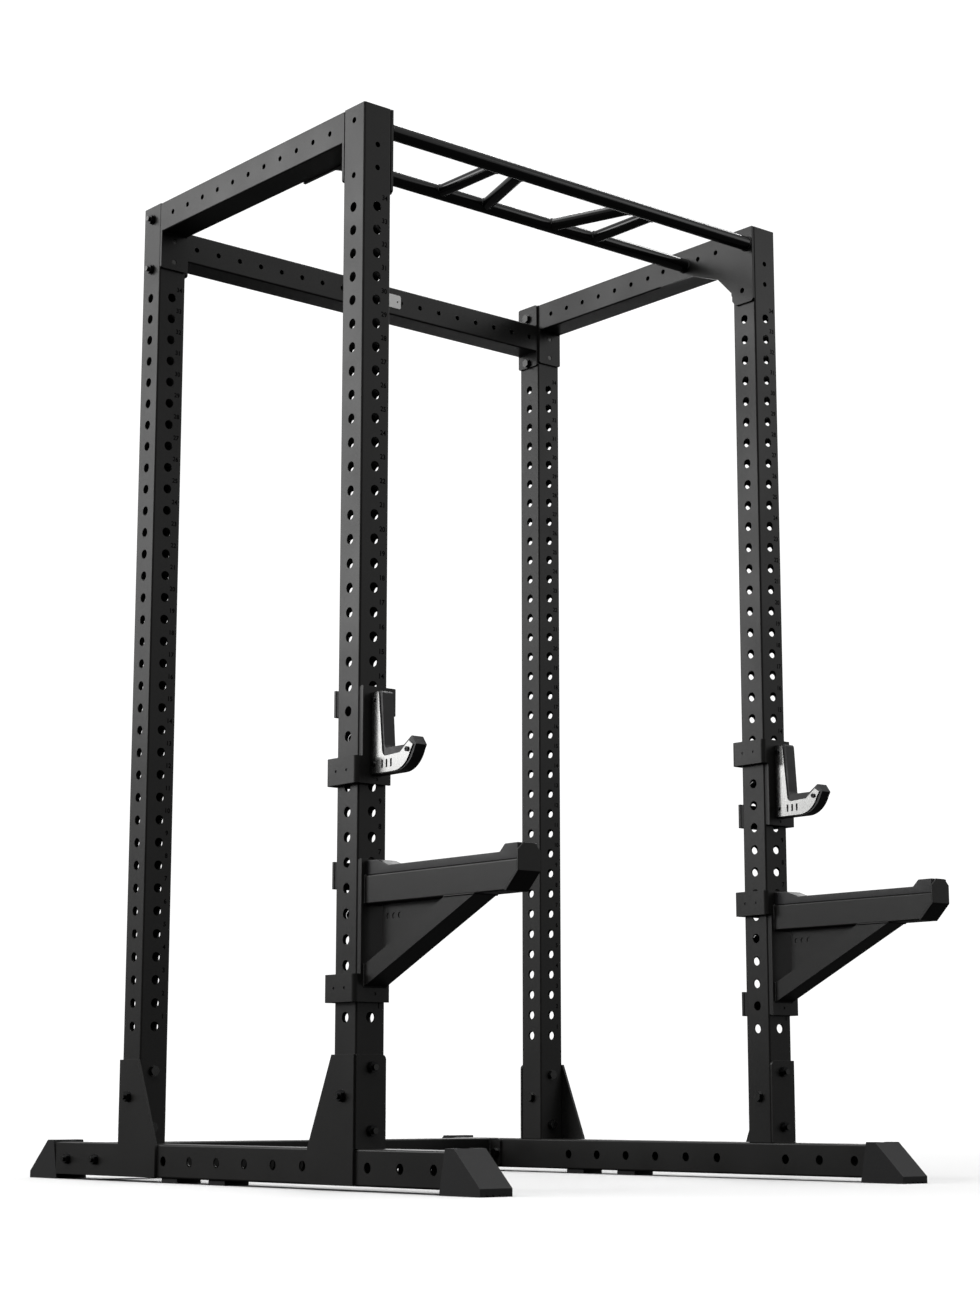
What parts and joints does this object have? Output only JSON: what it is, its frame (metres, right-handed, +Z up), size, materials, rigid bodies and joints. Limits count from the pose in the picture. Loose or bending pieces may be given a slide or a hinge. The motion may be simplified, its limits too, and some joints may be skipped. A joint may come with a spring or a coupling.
{
  "type": "power cage",
  "caption": "Power cage of drilled square-tube uprights on bolted base rails, with a multi-grip pull-up bar, roll-in J-cups and roll-in spotter arms.",
  "frame": {"origin": "on the floor, in the middle of the whole object's length and width", "axes": "+X to the right, +Y to the rear (the spotter arms point to -Y), +Z up"},
  "size_m": [1.262, 1.687, 2.2],
  "materials": {
    "powder_coat": "fine-textured matte powder coat, black",
    "rubber": "moulded, matte",
    "liner_plastic": "cut sheet, matte",
    "hard_plastic": "machined polyethylene, satin",
    "label_white": "smooth, blank",
    "cheek_steel": "fine brushed",
    "pin_steel": "turned, bright",
    "fastener_steel": "dark oxide with bright ends"
  },
  "bodies": {
    "cage": {"upright_front_left": "powder_coat", "upright_front_right": "powder_coat", "upright_rear_left": "powder_coat", "upright_rear_right": "powder_coat", "upright_top_plugs": "liner_plastic", "base_rail_left": "powder_coat", "base_rail_right": "powder_coat", "foot_front_left": "rubber", "foot_front_right": "rubber", "foot_rear_left": "rubber", "foot_rear_right": "rubber", "base_pads": "rubber", "base_bracket_front_left": "powder_coat", "base_bracket_front_right": "powder_coat", "base_bracket_rear_left": "powder_coat", "base_bracket_rear_right": "powder_coat", "side_beam_left": "powder_coat", "side_beam_right": "powder_coat", "rear_top_beam": "powder_coat", "rear_base_beam": "powder_coat", "pull_up_front_bar": "powder_coat", "pull_up_rear_bar": "powder_coat", "pull_up_grips": "powder_coat", "pull_up_plate_left": "powder_coat", "pull_up_plate_right": "powder_coat", "name_plate": "label_white", "base_bolts": "fastener_steel", "base_nuts": "fastener_steel", "top_bolts": "fastener_steel", "top_nuts": "fastener_steel"},
    "cup_left": {"cup_left_bracket": "powder_coat", "cup_left_pin": "pin_steel", "cup_left_liners": "liner_plastic", "cup_left_hook": "hard_plastic", "cup_left_cheeks": "cheek_steel", "cup_left_screws": "fastener_steel"},
    "cup_right": {"cup_right_bracket": "powder_coat", "cup_right_pin": "pin_steel", "cup_right_liners": "liner_plastic", "cup_right_hook": "hard_plastic", "cup_right_cheeks": "cheek_steel", "cup_right_screws": "fastener_steel"},
    "arm_left": {"arm_left_bracket": "powder_coat", "arm_left_pin": "pin_steel", "arm_left_liners": "liner_plastic", "arm_left_beam": "powder_coat", "arm_left_brace": "powder_coat", "arm_left_web": "powder_coat", "arm_left_strip": "hard_plastic", "arm_left_end_cap": "powder_coat", "arm_left_screws": "fastener_steel"},
    "arm_right": {"arm_right_bracket": "powder_coat", "arm_right_pin": "pin_steel", "arm_right_liners": "liner_plastic", "arm_right_beam": "powder_coat", "arm_right_brace": "powder_coat", "arm_right_web": "powder_coat", "arm_right_strip": "hard_plastic", "arm_right_end_cap": "powder_coat", "arm_right_screws": "fastener_steel"}
  },
  "joints": [
    {"name": "cup_left_roll", "type": "hinge", "parent": "cage", "child": "cup_left", "pos_m": [-0.575, -0.3385, 0.88], "axis": [0, 1, 0], "range_deg": [0, 90]},
    {"name": "cup_right_roll", "type": "hinge", "parent": "cage", "child": "cup_right", "pos_m": [0.575, -0.3385, 0.88], "axis": [0, -1, 0], "range_deg": [0, 90]},
    {"name": "arm_left_roll", "type": "hinge", "parent": "cage", "child": "arm_left", "pos_m": [-0.575, -0.3385, 0.53], "axis": [0, 1, 0], "range_deg": [0, 90]},
    {"name": "arm_right_roll", "type": "hinge", "parent": "cage", "child": "arm_right", "pos_m": [0.575, -0.3385, 0.53], "axis": [0, -1, 0], "range_deg": [0, 90]}
  ]
}
